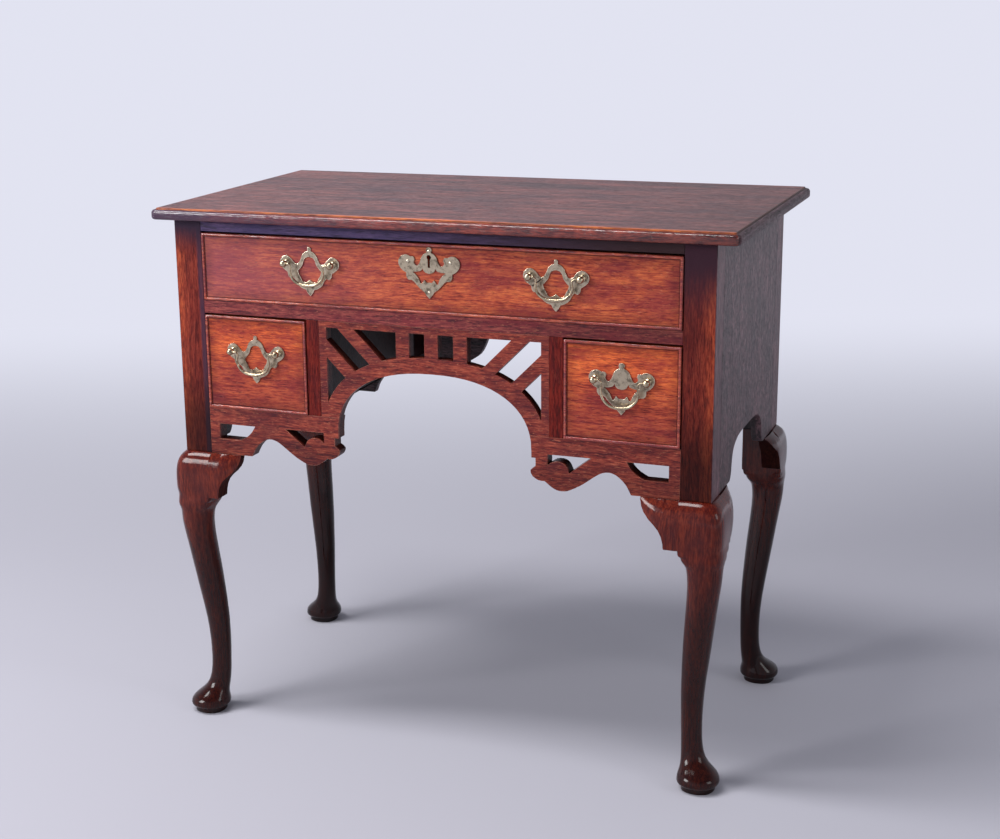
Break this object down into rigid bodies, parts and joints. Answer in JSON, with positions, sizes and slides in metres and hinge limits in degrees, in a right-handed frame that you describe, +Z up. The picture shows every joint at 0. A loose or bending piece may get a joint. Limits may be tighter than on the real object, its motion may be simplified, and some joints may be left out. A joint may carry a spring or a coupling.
{
  "type": "lowboy",
  "caption": "Oak side table on cabriole legs with pad feet, a long drawer over two small ones, a pierced arch over the kneehole, pierced shaped aprons and brass drop handles.",
  "frame": {"origin": "on the floor, at the centre of the whole object's bounding box", "axes": "+X to the right as one faces the drawers, along the width, +Y to the back, +Z up"},
  "size_m": [0.78, 0.438, 0.71],
  "materials": {
    "oak_front": "waxed and polished old oak, reddish brown",
    "oak_leg": "waxed old oak, dark red-brown, glossy",
    "oak_top": "waxed old oak, worn greyish brown",
    "oak_side": "old oak, grey-brown, coarse open grain",
    "oak_inside": "dry unpolished oak",
    "brass": "aged cast brass, worn bright on the edges",
    "iron": "dull dark iron"
  },
  "bodies": {
    "case": {"top_board": "oak_top", "leg_front_left": "oak_leg", "leg_front_right": "oak_leg", "leg_back_left": "oak_leg", "leg_back_right": "oak_leg", "bracket_front_left": "oak_leg", "bracket_front_right": "oak_leg", "bracket_side_front_left": "oak_leg", "bracket_side_front_right": "oak_leg", "bracket_side_back_left": "oak_leg", "bracket_side_back_right": "oak_leg", "rail_top": "oak_front", "rail_middle": "oak_front", "arch_fret": "oak_front", "apron_left": "oak_front", "apron_right": "oak_front", "partition_left": "oak_front", "partition_right": "oak_front", "side_panel_left": "oak_side", "side_panel_right": "oak_side", "back_panel": "oak_side", "runner_board_left": "oak_inside", "runner_board_right": "oak_inside", "bearer_left": "oak_inside", "bearer_right": "oak_inside"},
    "top_drawer": {"top_drawer_front": "oak_front", "top_drawer_side_left": "oak_inside", "top_drawer_side_right": "oak_inside", "top_drawer_back": "oak_inside", "top_drawer_bottom": "oak_inside", "top_left_handle_plate": "brass", "top_left_handle_post_left": "brass", "top_left_handle_post_right": "brass", "top_right_handle_plate": "brass", "top_right_handle_post_left": "brass", "top_right_handle_post_right": "brass", "escutcheon": "brass", "lock": "iron"},
    "left_drawer": {"left_drawer_front": "oak_front", "left_drawer_side_left": "oak_inside", "left_drawer_side_right": "oak_inside", "left_drawer_back": "oak_inside", "left_drawer_bottom": "oak_inside", "left_handle_plate": "brass", "left_handle_post_left": "brass", "left_handle_post_right": "brass"},
    "right_drawer": {"right_drawer_front": "oak_front", "right_drawer_side_left": "oak_inside", "right_drawer_side_right": "oak_inside", "right_drawer_back": "oak_inside", "right_drawer_bottom": "oak_inside", "right_handle_plate": "brass", "right_handle_post_left": "brass", "right_handle_post_right": "brass"},
    "bail_top_left": {"top_left_handle_bail": "brass"},
    "bail_top_right": {"top_right_handle_bail": "brass"},
    "bail_left": {"left_handle_bail": "brass"},
    "bail_right": {"right_handle_bail": "brass"},
    "lock_bolt": {"lock_bolt": "iron"}
  },
  "joints": [
    {"name": "top_drawer_slide", "type": "slide", "parent": "case", "child": "top_drawer", "axis": [0, -1, 0], "range_m": [0, 0.29]},
    {"name": "left_drawer_slide", "type": "slide", "parent": "case", "child": "left_drawer", "axis": [0, -1, 0], "range_m": [0, 0.29]},
    {"name": "right_drawer_slide", "type": "slide", "parent": "case", "child": "right_drawer", "axis": [0, -1, 0], "range_m": [0, 0.29]},
    {"name": "lock_bolt_throw", "type": "slide", "parent": "top_drawer", "child": "lock_bolt", "axis": [0, 0, 1], "range_m": [0, 0.008]},
    {"name": "top_left_bail_swing", "type": "hinge", "parent": "top_drawer", "child": "bail_top_left", "pos_m": [-0.165, -0.2133, 0.646], "axis": [-1, 0, 0], "range_deg": [-8, 140]},
    {"name": "top_right_bail_swing", "type": "hinge", "parent": "top_drawer", "child": "bail_top_right", "pos_m": [0.165, -0.2133, 0.646], "axis": [-1, 0, 0], "range_deg": [-8, 140]},
    {"name": "left_bail_swing", "type": "hinge", "parent": "left_drawer", "child": "bail_left", "pos_m": [-0.248, -0.2133, 0.525], "axis": [-1, 0, 0], "range_deg": [-8, 140]},
    {"name": "right_bail_swing", "type": "hinge", "parent": "right_drawer", "child": "bail_right", "pos_m": [0.248, -0.2133, 0.525], "axis": [-1, 0, 0], "range_deg": [-8, 140]}
  ]
}
